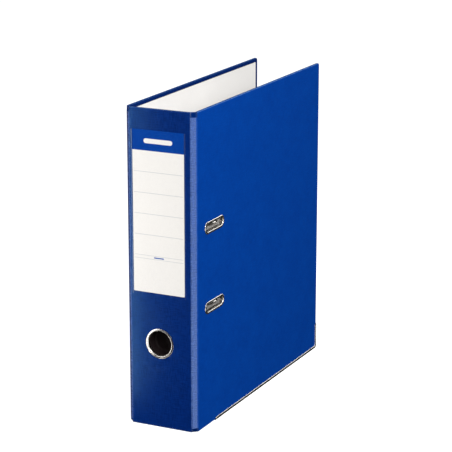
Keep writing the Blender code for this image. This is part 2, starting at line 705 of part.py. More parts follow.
def make_compressor_bar():
    """A shallow channel that slides along both posts and holds the paper down."""
    low_y, high_y = (SPINE_Y + y for y in BAR_Y)
    low_z, high_z = MECHANISM_Z - BAR_LENGTH / 2, MECHANISM_Z + BAR_LENGTH / 2
    floor = LINING_X + BAR_HEIGHT
    corner = 0.003
    outline = rounded([((low_y, low_z), corner), ((high_y, low_z), corner),
                       ((high_y, high_z), corner), ((low_y, high_z), corner)])
    trough = rectangle(low_y + BAR_SHEET, high_y - BAR_SHEET, low_z - corner, high_z + corner)
    origin = (floor, (low_y + high_y) / 2, MECHANISM_Z)
    bar = prism("compressor_bar", NICKEL, "yz", outline, floor, floor + BAR_FLANGE, origin)
    cut(bar, prism("bar_trough", None, "yz", trough, floor + BAR_SHEET, floor + 2 * BAR_FLANGE))
    for level, z in zip(("lower", "upper"), ARCH_Z):
        hole = circle((SPINE_Y + post_y(), z), POST_RADIUS + 0.0005, 24)
        cut(bar, prism(f"bar_hole_{level}", None, "yz", hole, floor - BAR_FLANGE, floor + 2 * BAR_FLANGE))


# ---- The whole file ----

slots = [slot_cutter(f"slot_{level}", z) for level, z in zip(("lower", "upper"), ARCH_Z)]
finger_hole_radius = FINGER_OPENING_RADIUS + FINGER_WALL + FIT_GAP
finger_hole = prism("finger_hole", None, "xz", circle((SPINE_TRIM_X, FINGER_Z), finger_hole_radius),
                    SPINE_Y - PANEL, SPINE_Y + 2 * PANEL)
holes = rivet_holes()
panels = case_panels()
cuts_by_panel = {"front_cover": slots, "spine": [finger_hole], "back_cover": holes}
for panel_name, case_panel in panels.items():
    make_panel(case_panel, cuts_by_panel.get(panel_name, []))

make_shoe("back_edge_shoe", BACK_X, BACK_X + PANEL)
make_shoe("front_edge_shoe", FRONT_X - PANEL, FRONT_X)
for level_name, slot_z in zip(("lower", "upper"), ARCH_Z):
    make_eyelet(f"slot_{level_name}", slot_z)
make_finger_hole()
make_label()

make_base_plate(holes)
make_rivets()
make_posts()
make_bail()
make_lever()
make_pins_and_roller()
make_spring()
make_compressor_bar()
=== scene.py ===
"""Looks of the lever arch file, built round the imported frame.

The case is foil-covered board: each panel's covering is a thin shell turned in round its free edges, and soft
creases join the shells. X runs from the back cover to the front, Y from the spine to the fore-edge, and Z up.
Lengths are in metres.
"""

import json
import math

import bmesh
import bpy
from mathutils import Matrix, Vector


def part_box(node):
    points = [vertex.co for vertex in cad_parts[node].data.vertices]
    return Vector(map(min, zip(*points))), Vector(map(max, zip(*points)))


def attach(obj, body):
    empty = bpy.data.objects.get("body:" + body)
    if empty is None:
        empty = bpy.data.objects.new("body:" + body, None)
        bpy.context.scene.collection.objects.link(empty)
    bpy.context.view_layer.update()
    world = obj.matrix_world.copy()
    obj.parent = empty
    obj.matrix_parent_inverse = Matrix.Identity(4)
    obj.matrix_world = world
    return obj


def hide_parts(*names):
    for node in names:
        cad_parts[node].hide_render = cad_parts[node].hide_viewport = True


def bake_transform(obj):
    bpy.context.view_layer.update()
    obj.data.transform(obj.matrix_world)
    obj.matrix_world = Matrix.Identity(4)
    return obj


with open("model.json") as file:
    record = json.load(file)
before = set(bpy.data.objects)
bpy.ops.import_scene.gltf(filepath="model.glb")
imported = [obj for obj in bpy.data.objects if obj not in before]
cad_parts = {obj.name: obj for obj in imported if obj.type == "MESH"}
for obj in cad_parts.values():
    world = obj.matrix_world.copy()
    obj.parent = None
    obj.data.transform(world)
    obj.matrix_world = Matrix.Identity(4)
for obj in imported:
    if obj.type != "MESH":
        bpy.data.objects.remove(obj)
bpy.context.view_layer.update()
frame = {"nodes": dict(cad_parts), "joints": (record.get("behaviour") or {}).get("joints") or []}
node_of = frame["nodes"]
joint_place = {joint["name"]: Vector(joint["pos_m"]) for joint in frame["joints"] if "pos_m" in joint}

# ---- Sizes ----

FOIL = 0.0003  # thickness of the covering
TURN_IN = 0.004
EDGE_ROUND = 0.00045
CORNER_RADIUS = 0.003
CREASE_HALF = 0.0008  # from a crease to the end of the flat panel
GROOVE_HALF = 0.0006
GROOVE_DEPTH = 0.00035
TAN_HALF_FOLD = math.tan(math.radians(22.5))
COS_HALF_FOLD = math.cos(math.radians(22.5))
HEAD_DIP = 0.0012  # how far a hinge strip slopes in at its head
HEAD_LENGTH = 0.0050
TAIL_DIP = 0.0009
TAIL_LENGTH = 0.0038
DIP_END = 0.0008  # from the strip's end to the end of the slope
DIP_ROUND = 0.0003  # half the length of the rounding where a slope starts
LIP_CHAMFER = 0.0001  # at the covering's turned-in end
INNER_CORNER = 0.0006  # least radius of the covering's corners

STEEL_SHEET = 0.0004
TIP_SHARE = 0.6  # length of a wire's rounded tip in wire radii
HARD_EDGE = math.radians(30)  # a steeper turn from face to face gets a bevel

covering_low, covering_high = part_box("spine_covering")
FOOT_Z, HEAD_Z = covering_low.z, covering_high.z
SPINE_Y = covering_low.y
PANEL = covering_high.y - covering_low.y
FORE_EDGE_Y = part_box("front_cover_covering")[1].y
FRONT_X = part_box("front_cover_covering")[1].x
BACK_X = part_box("back_cover_covering")[0].x


# ---- Outlines ----

def arc(centre, radius, start, end, steps):
    """Points on an arc of a circle, or of an ellipse for two radii; ends included, with angles in degrees."""
    across, up = radius if isinstance(radius, tuple) else (radius, radius)
    angles = [math.radians(start + (end - start) * step / steps) for step in range(steps + 1)]
    return [(centre[0] + across * math.cos(a), centre[1] + up * math.sin(a)) for a in angles]


def stadium(centre, length, height, steps=16):
    """A slot's outline, long along its first axis."""
    reach = (length - height) / 2
    right = arc((centre[0] + reach, centre[1]), height / 2, -90, 90, steps)
    left = arc((centre[0] - reach, centre[1]), height / 2, 90, 270, steps)
    return right + left


def smooth_step(low, high, value):
    share = min(max((value - low) / (high - low), 0.0), 1.0)
    return share * share * (3 - 2 * share)


# ---- Meshes ----

def add_ring(shape, points):
    return [shape.verts.new(point) for point in points]


def bridge(shape, ring, following, is_closed=True):
    """Joins two rings, or two open rows, of as many points with quads."""
    count = len(ring) if is_closed else len(ring) - 1
    for index in range(count):
        after = (index + 1) % len(ring)
        shape.faces.new((ring[index], ring[after], following[after], following[index]))


def loft(name, look, rings, is_loop=False):
    """A piece through closed rings of points, capped at both ends, or joined round into a loop."""
    shape = bmesh.new()
    made = [add_ring(shape, ring) for ring in rings]
    for ring, following in zip(made, made[1:]):
        bridge(shape, ring, following)
    if is_loop:
        bridge(shape, made[-1], made[0])
    else:
        shape.faces.new(made[0])
        shape.faces.new(made[-1])
    return to_object(name, shape, look)


def link(made):
    bpy.context.scene.collection.objects.link(made)
    return made


def to_object(name, shape, look):
    bmesh.ops.recalc_face_normals(shape, faces=shape.faces)
    mesh = bpy.data.meshes.new(name)
    shape.to_mesh(mesh)
    shape.free()
    if look:
        mesh.materials.append(look)
    return link(bpy.data.objects.new(name, mesh))


def shade(made, angle=35, weighted=False):
    """Smooth shading with sharp edges above an angle; flat faces keep flat shading beside rounded edges."""
    made.data.shade_smooth()
    made.data.set_sharp_from_angle(angle=math.radians(angle))
    if weighted:
        step = made.modifiers.new("weighted_normals", "WEIGHTED_NORMAL")
        step.keep_sharp = True
        step.weight = 90
    return made


def cut(made, tools):
    """Cuts closed meshes out of a piece, and removes them."""
    for tool in tools:
        step = made.modifiers.new(tool.name, "BOOLEAN")
        step.operation = "DIFFERENCE"
        step.solver = "EXACT"
        step.object = tool
    graph = bpy.context.evaluated_depsgraph_get()
    made.data = bpy.data.meshes.new_from_object(made.evaluated_get(graph))
    made.modifiers.clear()
    for tool in tools:
        bpy.data.objects.remove(tool)


def prism(name, look, plane, outline, low, high):
    """An outline in a plane such as "yz", extruded along the third axis from low to high."""
    first, second = ("xyz".index(letter) for letter in plane)
    third = 3 - first - second

    def ring(level):
        for point in outline:
            place = Vector((0, 0, 0))
            place[first], place[second], place[third] = point[0], point[1], level
            yield place

    return loft(name, look, [list(ring(low)), list(ring(high))])


def turned(name, look, axis, centre, profile, steps):
    """A profile of (radius, height along the axis) points, turned about an axis through the centre."""
    along = Vector([1.0 if letter == axis else 0.0 for letter in "xyz"])
    across = Vector((0, 1, 0)) if axis == "x" else Vector((1, 0, 0))
    shape = bmesh.new()
    verts = add_ring(shape, [Vector(centre) + across * radius + along * height for radius, height in profile])
    edges = [shape.edges.new(pair) for pair in zip(verts, verts[1:])]
    bmesh.ops.spin(shape, geom=verts + edges, cent=centre, axis=along, angle=math.tau,
                   steps=steps, use_merge=True)
    bmesh.ops.remove_doubles(shape, verts=shape.verts, dist=1e-7)
    return shade(to_object(name, shape, look))


def swept(name, look, route, radius, sides, tip_rings=4):
    """Round wire along a route of points, with rounded tips."""
    neighbours = zip(route[:1] + route[:-1], route[1:] + route[-1:])
    tangents = [(after - before).normalized() for before, after in neighbours]
    side = tangents[0].orthogonal().normalized()
    around = [math.tau * step / sides for step in range(sides)]
    quarter = [math.radians(90 * step / tip_rings) for step in range(tip_rings)]
    rings = []
    for index, (place, tangent) in enumerate(zip(route, tangents)):
        side = (side - tangent * side.dot(tangent)).normalized()
        up = tangent.cross(side)
        stations = [(place, radius)]
        if index in (0, len(route) - 1):
            outward = -tangent if index == 0 else tangent
            tip = outward * radius * TIP_SHARE
            stations = [(place + tip * (math.sin(a) - 1), radius * math.cos(a)) for a in quarter]
            if index == 0:
                stations.reverse()
        for middle, reach in stations:
            rings.append([middle + (side * math.cos(a) + up * math.sin(a)) * reach for a in around])
    return shade(loft(name, look, rings), angle=50)


def bevel(made, width, segments=2):
    step = made.modifiers.new("edge_bevel", "BEVEL")
    step.width = width
    step.segments = segments
    step.limit_method = "ANGLE"
    step.angle_limit = HARD_EDGE
    step.harden_normals = True


# ---- Node materials ----

class Graph:
    """Builds the nodes of a new material, or of a new world."""

    def __init__(self, name, family=bpy.data.materials):
        self.owner = family.new(name)
        self.owner.use_nodes = True
        self.nodes = self.owner.node_tree.nodes
        self.links = self.owner.node_tree.links

    def node(self, kind, settings=None, **sockets):
        made = self.nodes.new(kind)
        for key, value in (settings or {}).items():
            setattr(made, key, value)
        for key, value in sockets.items():
            self.join(value, made.inputs[key.replace("_", " ")])
        return made

    def join(self, value, socket):
        """Links or sets a socket; a colour is given as red, green and blue."""
        if isinstance(value, bpy.types.NodeSocket):
            self.links.new(value, socket)
        else:
            socket.default_value = (*value, 1.0) if socket.type == "RGBA" else value

    def math(self, operation, first, second=0.0, third=0.0):
        made = self.node("ShaderNodeMath", {"operation": operation})
        for socket, value in zip(made.inputs, (first, second, third)):
            self.join(value, socket)
        return made.outputs[0]

    def scaled(self, value, factor, added):
        return self.math("MULTIPLY_ADD", value, factor, added)

    def times(self, first, second):
        return self.math("MULTIPLY", first, second)

    def minus(self, first, second):
        return self.math("SUBTRACT", first, second)

    def distance(self, first, second):
        return self.math("ABSOLUTE", self.minus(first, second))

    def place(self):
        """A point's place at rest, in metres."""
        return self.node("ShaderNodeTexCoord").outputs["Object"]

    def axes(self, vector):
        return self.node("ShaderNodeSeparateXYZ", Vector=vector).outputs

    def stretched(self, vector, stretch):
        return self.node("ShaderNodeMapping", Vector=vector, Scale=stretch).outputs[0]

    def noise(self, vector, scale, detail=2.0, roughness=0.5):
        return self.node("ShaderNodeTexNoise", Vector=vector, Scale=scale, Detail=detail,
                         Roughness=roughness).outputs[0]

    def ramp(self, value, low, high, to_low=0.0, to_high=1.0):
        return self.node("ShaderNodeMapRange", {"interpolation_type": "SMOOTHSTEP"}, Value=value,
                         From_Min=low, From_Max=high, To_Min=to_low, To_Max=to_high).outputs[0]

    def blend(self, factor, first, second):
        made = self.node("ShaderNodeMix", {"data_type": "RGBA"})
        for index, value in ((0, factor), (6, first), (7, second)):
            self.join(value, made.inputs[index])
        return made.outputs[2]

    def bump(self, height, distance, strength, **under):
        return self.node("ShaderNodeBump", Height=height, Distance=distance, Strength=strength,
                         **under).outputs[0]

    def finish(self, **sockets):
        """Sets a material's shader and returns the material."""
        for key, value in sockets.items():
            self.join(value, self.nodes["Principled BSDF"].inputs[key.replace("_", " ")])
        return self.owner


# ---- The five panels ----

class Panel:
    """A flat panel of the closed case. It runs from a crease on its outer face, and depth goes inwards."""

    def __init__(self, body, start, run, inward, length, sheet_start, sheet_sign=1.0, is_cover=False):
        self.body = body
        self.start, self.run, self.inward = Vector(start), Vector(run), Vector(inward)
        self.length = length
        self.sheet_start, self.sheet_sign = sheet_start, sheet_sign
        self.is_cover = is_cover

    def place(self, run, depth, z):
        return (self.start + self.run * run + self.inward * depth).to_3d() + Vector((0, 0, z))

    def near_end(self, depth):
        return CREASE_HALF + depth * TAN_HALF_FOLD

    def on_sheet(self, point):
        offset = point.to_2d() - self.start
        return self.sheet_start + self.sheet_sign * offset.dot(self.run), point.z, offset.dot(self.inward)


def map_sheet(made, surface):
    """Writes each point's place on the flat foil (round the case, up, inwards), which its grain follows."""
    layer = made.data.attributes.new("sheet", "FLOAT_VECTOR", "POINT")
    for vert, item in zip(made.data.vertices, layer.data):
        item.vector = surface.on_sheet(vert.co)


def flat(name):
    return joint_place[name].to_2d()


back_corner, back_spine_corner = flat("back_cover_crease"), flat("back_spine_crease")
front_spine_corner, front_corner = flat("front_spine_crease"), flat("front_cover_crease")
slant = math.sqrt(0.5)
strip_width = (back_spine_corner - back_corner).length
spine_width = (front_spine_corner - back_spine_corner).length
cover_length = FORE_EDGE_Y - front_corner.y
CREASE_SHEET = [0.0, strip_width, strip_width + spine_width, 2 * strip_width + spine_width]

panels = {panel.body: panel for panel in (
    Panel("back_cover", back_corner, (0, 1), (1, 0), cover_length, CREASE_SHEET[0], -1.0, True),
    Panel("back_hinge", back_corner, (slant, -slant), (slant, slant), strip_width, CREASE_SHEET[0]),
    Panel("spine", back_spine_corner, (1, 0), (0, 1), spine_width, CREASE_SHEET[1]),
    Panel("front_hinge", front_spine_corner, (slant, slant), (-slant, slant), strip_width,
          CREASE_SHEET[2]),
    Panel("front_cover", front_corner, (0, 1), (-1, 0), cover_length, CREASE_SHEET[3], 1.0, True),
)}


# A free edge's rounding, as (inset, depth) from the outer face's end
ROUNDING = arc((EDGE_ROUND, EDGE_ROUND), EDGE_ROUND, 180, 270, 4)


def end_dip(z):
    """How far a hinge strip's outer face slopes in at a height."""
    head = (z - HEAD_Z + HEAD_LENGTH) / (HEAD_LENGTH - DIP_END)
    tail = (FOOT_Z + TAIL_LENGTH - z) / (TAIL_LENGTH - DIP_END)
    return HEAD_DIP * min(max(head, 0.0), 1.0) + TAIL_DIP * min(max(tail, 0.0), 1.0)


def press(z, depth):
    """How much deeper a point of a hinge strip lies at its pressed ends: the whole dip on the outer face, and
    nothing from the middle inwards."""
    middle = PANEL / 2
    return end_dip(z) * min(max((middle - depth) / (middle - FOIL), 0.0), 1.0)


def strip_heights():
    """Heights at which a hinge strip's outer face bends at its sloping head and tail, from the foot up."""
    tail, head = FOOT_Z + TAIL_LENGTH, HEAD_Z - HEAD_LENGTH
    return [FOOT_Z + DIP_END, tail - DIP_ROUND, tail, tail + DIP_ROUND,
            head - DIP_ROUND, head, head + DIP_ROUND, HEAD_Z - DIP_END]


def add_look(made, look, is_chosen):
    """Gives a second material to the faces whose centres the test chooses."""
    made.data.materials.append(look)
    for face in made.data.polygons:
        face.material_index = int(is_chosen(face.center))
    return made


def is_pressed(place):
    return not FOOT_Z + TAIL_LENGTH < place.z < HEAD_Z - HEAD_LENGTH


def edge_section():
    """The covering's section at a free edge: (inset, depth), from the outer face round to its inner side."""
    outer = list(reversed(ROUNDING))
    inner = [(inset, PANEL - depth) for inset, depth in ROUNDING]
    lip = [(TURN_IN - LIP_CHAMFER, PANEL), (TURN_IN, PANEL - LIP_CHAMFER), (TURN_IN, PANEL - FOIL)]
    return outer + inner + lip + [(FOIL, PANEL - FOIL), (FOIL, FOIL)]


def cover_shell(panel, look, shade_painted_look):
    """A cover's covering: flat on the outside, and turned in along its head, fore-edge and foot; its edges
    and turn-ins get a darker foil, painted shade.
    """
    shape = bmesh.new()
    loops = []
    for inset, depth in edge_section():
        radius = max(CORNER_RADIUS - inset, INNER_CORNER)
        end = panel.length - inset
        low, high = FOOT_Z + inset, HEAD_Z - inset
        near = panel.near_end(depth)
        path = [(near, low), *arc((end - radius, low + radius), radius, -90, 0, 8),
                *arc((end - radius, high - radius), radius, 0, 90, 8), (near, high)]
        loops.append(add_ring(shape, [panel.place(run, depth, z) for run, z in path]))
    for loop, following in zip(loops, loops[1:]):
        bridge(shape, loop, following, is_closed=False)
    for loop in (loops[0], loops[-1]):
        shape.faces.new(loop)
    shape.faces.new([loop[0] for loop in loops] + [loop[-1] for loop in reversed(loops)])

    def is_turned_in(place):
        return (place.to_2d() - panel.start).dot(panel.inward) > EDGE_ROUND * 0.6

    return add_look(to_object(f"{panel.body}_foil", shape, look), shade_painted_look, is_turned_in)


def strip_shell(panel, look, shade_painted_end_look):
    """A hinge strip's or the spine's covering: creased on both sides, and turned in at head and foot; a
    strip's pressed ends get a darker foil, painted shade.
    """
    section = edge_section()
    heights = strip_heights() if panel.body != "spine" else []
    profile = [(FOOT_Z + inset, depth) for inset, depth in reversed(section)]
    profile += [(z, 0.0) for z in heights]
    profile += [(HEAD_Z - inset, depth) for inset, depth in section]
    profile += [(z, FOIL) for z in reversed(heights)]
    rings = []
    for is_far in (False, True):
        ring = []
        for z, depth in profile:
            sunk = depth + (press(z, depth) if heights else 0.0)
            near = panel.near_end(sunk)
            ring.append(panel.place(panel.length - near if is_far else near, sunk, z))
        rings.append(ring)
    made = loft(f"{panel.body}_foil", look, rings)
    return add_look(made, shade_painted_end_look, is_pressed) if heights else made


class Crease:
    """The fold between two neighbouring panels, first the one nearer the back cover."""

    def __init__(self, name, first, second):
        self.name, self.first, self.second = name, first, second
        self.corner = flat(name)
        into_first = first.run if first.body == "back_cover" else -first.run
        self.along = (second.run - into_first).normalized()
        self.inward = (second.run + into_first).normalized()
        self.into_first, self.into_second = into_first, second.run
        self.reach = CREASE_HALF * COS_HALF_FOLD
        self.strip_side = 1.0 if second.body.endswith("hinge") else -1.0
        self.has_groove = "spine" in (first.body, second.body)
        self.beside_cover = first.is_cover or second.is_cover

    def place(self, along, inward, z):
        return (self.corner + self.along * along + self.inward * inward).to_3d() + Vector((0, 0, z))

    def on_sheet(self, point):
        offset = point.to_2d() - self.corner
        return self.second.sheet_start + offset.dot(self.along), point.z, offset.dot(self.inward)

    def stations(self, steps=14):
        return [self.reach * (2 * step / steps - 1) for step in range(steps + 1)]

    def outer(self, along, z, depth):
        """Distance in from the corner to the outer face: rounded, grooved, and pressed in at its ends."""
        radius = CREASE_HALF / TAN_HALF_FOLD
        bend = radius / COS_HALF_FOLD - math.sqrt(radius ** 2 - along ** 2)
        groove = 0.0
        if self.has_groove and abs(along) < GROOVE_HALF:
            groove = GROOVE_DEPTH * 0.5 * (1 + math.cos(math.pi * along / GROOVE_HALF))
        share = smooth_step(-self.reach, self.reach, along * self.strip_side)
        return bend + groove + (depth + press(z, depth) * share) / COS_HALF_FOLD

    def inner(self, along, depth):
        return depth / COS_HALF_FOLD + abs(along) * TAN_HALF_FOLD

    def bend(self, piece):
        """Bakes a finished piece's placement into its mesh."""
        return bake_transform(piece)

    def fold(self, look, shade_painted_end_look):
        """The covering's fold, through the case's thickness, with head and foot rounded like the panels'; its
        ends get a darker foil, painted shade.
        """
        levels = [(FOOT_Z + rise, depth) for rise, depth in ROUNDING]
        levels += [(z, 0.0) for z in strip_heights()]
        levels += [(HEAD_Z - rise, depth) for rise, depth in reversed(ROUNDING)]
        hidden = 0.00005  # how far the fold stays below the panels' inner faces
        rings = []
        for z, depth in levels:
            outer = [self.place(e, self.outer(e, z, depth), z) for e in self.stations()]
            level = PANEL - depth - hidden
            inner = [self.place(e, self.inner(e, level), z) for e in reversed(self.stations())]
            rings.append(outer + inner)
        made = add_look(loft(self.name.replace("crease", "fold"), look, rings), shade_painted_end_look, is_pressed)
        map_sheet(made, self)
        return shade(made, angle=40)

    def hinge_paper(self, look, low_z, high_z):
        """The strip of lining paper glued over the fold inside."""
        lift, sheet, gap = 0.00002, 0.00016, 0.0001
        side = (strip_width / 2 - PANEL * TAN_HALF_FOLD - gap) * COS_HALF_FOLD
        between = side * 0.6
        stations = [-side, -between] + self.stations() + [between, side]
        under = [(e, self.inner(e, PANEL + lift)) for e in stations]
        over = [(e, self.inner(e, PANEL + lift + sheet)) for e in reversed(stations)]
        rings = [[self.place(e, m, z) for e, m in under + over] for z in (low_z, high_z)]
        made = loft(self.name.replace("crease", "hinge_paper"), look, rings)
        return shade(made, angle=60)


# ---- Materials ----

def foil_material(name, base, deep, specular, tint, roughness, linen, edge=0.28):
    """Printed foil with a fine linen emboss that follows the sheet, rubbed paler along folds, and paler along
    its free edges.
    """
    g = Graph(name)
    sheet = g.node("ShaderNodeAttribute", {"attribute_name": "sheet"}).outputs["Vector"]
    across, up, _ = g.axes(sheet)
    threads = [g.noise(g.stretched(sheet, stretch), 1.0, 2.0) for stretch in
               ((1500, 130, 400), (130, 1500, 400), (1100, 120, 150), (120, 1100, 150))]
    fine = g.math("ADD", threads[0], threads[1])
    coarse = g.math("ADD", threads[2], threads[3])
    weave = g.scaled(fine, 0.6, coarse)
    grain = g.noise(sheet, 1100.0, 3.0, 0.6)
    mottle = g.noise(sheet, 38.0, 4.0, 0.6)

    from_creases = [g.distance(across, place) for place in CREASE_SHEET]
    nearest = from_creases[0]
    for distance in from_creases[1:]:
        nearest = g.math("MINIMUM", nearest, distance)
    from_ends = g.math("MINIMUM", g.minus(up, FOOT_Z), g.minus(HEAD_Z, up))
    sheet_middle = (CREASE_SHEET[0] + CREASE_SHEET[3]) / 2
    sheet_half = CREASE_SHEET[3] - sheet_middle + cover_length
    from_middle = g.distance(across, sheet_middle)
    from_fore_edges = g.minus(sheet_half, from_middle)
    fold_wear = g.ramp(nearest, 0.0005, 0.0016, 1.0, 0.0)
    # paler along the head, foot and fore-edges
    pale_edges = g.ramp(g.math("MINIMUM", from_ends, from_fore_edges), 0.0003, 0.0010, edge, 0.0)
    patchy = g.ramp(g.noise(sheet, 160.0, 3.0), 0.25, 0.75, 0.35, 1.0)
    fold_wear_and_pale_edges = g.times(g.math("MAXIMUM", g.times(fold_wear, 0.14), pale_edges), patchy)

    tone = g.blend(g.ramp(mottle, 0.3, 0.7), base, deep)
    thread_tone = tuple(part * 2.0 for part in base)
    tone = g.blend(g.times(g.ramp(weave, 1.25, 1.95), linen), tone, thread_tone)
    tone = g.blend(fold_wear_and_pale_edges, tone, (0.10, 0.22, 0.48))

    rough = g.scaled(mottle, 0.10, g.scaled(weave, 0.10, roughness - 0.21))
    normal = g.bump(weave, 0.00005, 0.8)
    normal = g.bump(grain, 0.00003, 0.5, Normal=normal)
    return g.finish(Base_Color=tone, Roughness=rough, Normal=normal, Specular_IOR_Level=specular,
                    Specular_Tint=tint)


def paper_material(name, base, deep, scale):
    g = Graph(name)
    place = g.place()
    fibres = g.noise(g.stretched(place, (900, 900, 260)), 1.0, 3.0, 0.6)
    cloud = g.noise(place, scale, 3.0)
    mix = g.ramp(g.scaled(fibres, 0.4, cloud), 0.5, 0.9)
    return g.finish(Base_Color=g.blend(mix, base, deep),
                    Roughness=g.scaled(fibres, 0.15, 0.62),
                    Normal=g.bump(fibres, 0.00003, 0.4), Specular_IOR_Level=0.25)


def card_material(low, high):
    """White card, printed with a blue heading, writing lines and a short dash."""
    heading_height = 0.0201
    rule_spacing = 0.0206
    foot_rule = 0.0336  # from the card's foot
    rule_half, thin_rule_half = 0.00016, 0.00012
    rule_reach, rule_blur = 0.0262, 0.0003
    dash_reach, dash_half = 0.0052, 0.0005
    bar_half, bar_reach, bar_height = 0.0023, 0.0130, 0.0095
    g = Graph("label_print")
    place = g.place()
    across, _, up = g.axes(place)
    side = g.minus(across, (low.x + high.x) / 2)
    heading_z = high.z - heading_height
    fibres = g.noise(g.stretched(place, (700, 700, 300)), 1.0, 3.0)
    white = g.blend(g.ramp(fibres, 0.3, 0.75), (0.755, 0.733, 0.700), (0.733, 0.710, 0.678))

    def near(value, middle, half, blur=0.00012):
        return g.ramp(g.distance(value, middle), half, half + blur, 1.0, 0.0)

    rules = [heading_z - rule_spacing * number for number in range(1, 6)] + [low.z + foot_rule]
    line = 0.0
    for number, rule in enumerate(rules):
        half = rule_half if number < 4 else thin_rule_half
        line = g.math("MAXIMUM", line, near(up, rule, half, 0.0002))
    line = g.times(line, near(side, 0.0, rule_reach, rule_blur))
    tone = g.blend(g.times(line, 0.7), white, (0.40, 0.42, 0.44))
    dash = near(up, (rules[4] + rules[5]) / 2, dash_half)
    dash = g.times(near(side, 0.0, dash_reach, 0.0003), dash)
    tone = g.blend(dash, tone, (0.02, 0.09, 0.36))

    ink_mottle = g.ramp(g.noise(place, 300.0, 3.0), 0.3, 0.7)
    ink = g.blend(ink_mottle, (0.0008, 0.0430, 0.270), (0.0006, 0.0370, 0.248))
    heading = g.ramp(up, heading_z - 0.00006, heading_z + 0.00006)
    tone = g.blend(heading, tone, ink)
    beyond = g.math("MAXIMUM", g.minus(g.math("ABSOLUTE", side), bar_reach), 0.0)
    off = g.minus(up, heading_z + bar_height)
    squares = g.math("ADD", g.times(beyond, beyond), g.times(off, off))
    from_bar = g.math("SQRT", squares)
    tone = g.blend(g.ramp(from_bar, bar_half - 0.0001, bar_half + 0.0001, 1.0, 0.0), tone, white)
    return g.finish(Base_Color=tone, Roughness=g.scaled(fibres, 0.12, 0.42), Specular_IOR_Level=0.01,
                    Normal=g.bump(fibres, 0.00002, 0.3))


def metal_material(name, base, deep, roughness, spangle=0.0):
    """Plated or plain steel with fine rubbing marks, cloudy patches, and spangles where it is zinc."""
    g = Graph(name)
    place = g.place()
    marks = g.noise(g.stretched(place, (500, 500, 60)), 1.0, 3.0, 0.7)
    cloud = g.noise(place, 130.0, 4.0, 0.6)
    tone = g.blend(g.ramp(cloud, 0.35, 0.7), base, deep)
    rough = g.scaled(cloud, 0.12, g.scaled(marks, 0.14, roughness - 0.13))
    if spangle:
        cells = g.node("ShaderNodeTexVoronoi", Vector=place, Scale=420.0)
        patches = g.axes(cells.outputs["Color"])[0]
        rough = g.scaled(patches, spangle, rough)
        tone = g.blend(g.times(patches, 0.3), tone, deep)
    normal = g.bump(marks, 0.00001, 0.35)
    return g.finish(Base_Color=tone, Roughness=rough, Normal=normal, Metallic=1.0)


# Black plastic for the finger-hole cup, a dark piece that stands in for shade
def plastic_material():
    g = Graph("black_moulding")
    place = g.place()
    grain = g.noise(place, 1500.0, 2.0)
    scuffs = g.noise(g.stretched(place, (90, 500, 90)), 1.0, 3.0)
    dark, pale = (0.0125, 0.0085, 0.0092), (0.0210, 0.0150, 0.0158)
    return g.finish(Base_Color=g.blend(g.ramp(scuffs, 0.45, 0.8), dark, pale),
                    Roughness=g.scaled(scuffs, 0.2, 0.36),
                    Normal=g.bump(grain, 0.00003, 0.4), Specular_IOR_Level=0.06)


def film_material():
    """Clear film, with faint handling haze and paler welds along its sides; the weld on the back cover's side
    is far paler, a painted reflection.
    """
    weld_start, weld_end = 0.0008, 0.0013  # from the pocket's side
    g = Graph("pocket_film")
    place = g.place()
    haze = g.noise(g.stretched(place, (60, 60, 25)), 1.0, 4.0, 0.6)
    low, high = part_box("label_pocket")
    side = g.minus(g.axes(place)[0], (low.x + high.x) / 2)
    half = (high.x - low.x) / 2
    # paler welds; the much stronger paleness on the back cover's side is a painted reflection
    seam = g.math("ADD", g.ramp(side, weld_start - half, weld_end - half, 0.30, 0.0),
                  g.ramp(side, half - weld_end, half - weld_start, 0.0, 0.05))
    alpha = g.math("ADD", seam, g.ramp(haze, 0.3, 0.8, 0.002, 0.006))
    rough = g.scaled(haze, 0.2, 0.08)
    tone = g.blend(haze, (0.16, 0.24, 0.45), (0.24, 0.32, 0.52))
    return g.finish(Base_Color=tone, Roughness=rough, Alpha=alpha, Normal=g.bump(haze, 0.0004, 0.15),
                    Specular_IOR_Level=0.04)


COVER_FOIL = foil_material("cover_foil", (0.0006, 0.0455, 0.294), (0.0005, 0.0400, 0.268), 0.012,
                           (0.12, 0.4, 1.0), 0.46, 0.22, 0.9)
# The spine's and hinge strips' foils are darker copies of the covers' foil: their darker base colour is
# painted shade
SPINE_FOIL = foil_material("spine_foil", (0.0003, 0.0125, 0.104), (0.0003, 0.0105, 0.092), 0.45,
                           (0.18, 0.6, 1.0), 0.20, 0.50)
STRIP_FOIL = foil_material("strip_foil", (0.0005, 0.0180, 0.140), (0.0004, 0.0150, 0.120), 1.0,
                           (0.40, 0.6, 0.97), 0.27, 0.5)
# A darker copy of the foil, painted shade, for the covers' edges and turn-ins and the ends of the hinge
# strips and folds
SHADE_PAINTED_FOIL = foil_material("shade_painted_foil", (0.0004, 0.0150, 0.110), (0.0003, 0.0120, 0.095), 0.012,
                            (0.12, 0.4, 1.0), 0.46, 0.14)
LINING_PAPER = paper_material("lining_paper", (0.88, 0.865, 0.845), (0.84, 0.825, 0.805), 14.0)
GREY_BOARD = paper_material("grey_board", (0.36, 0.34, 0.31), (0.25, 0.235, 0.215), 90.0)
LABEL_PRINT = card_material(*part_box("label_card"))
NICKEL = metal_material("nickel_plate", (0.74, 0.71, 0.67), (0.62, 0.595, 0.56), 0.20)
RING_NICKEL = metal_material("ring_nickel", (0.64, 0.61, 0.57), (0.50, 0.48, 0.45), 0.27)
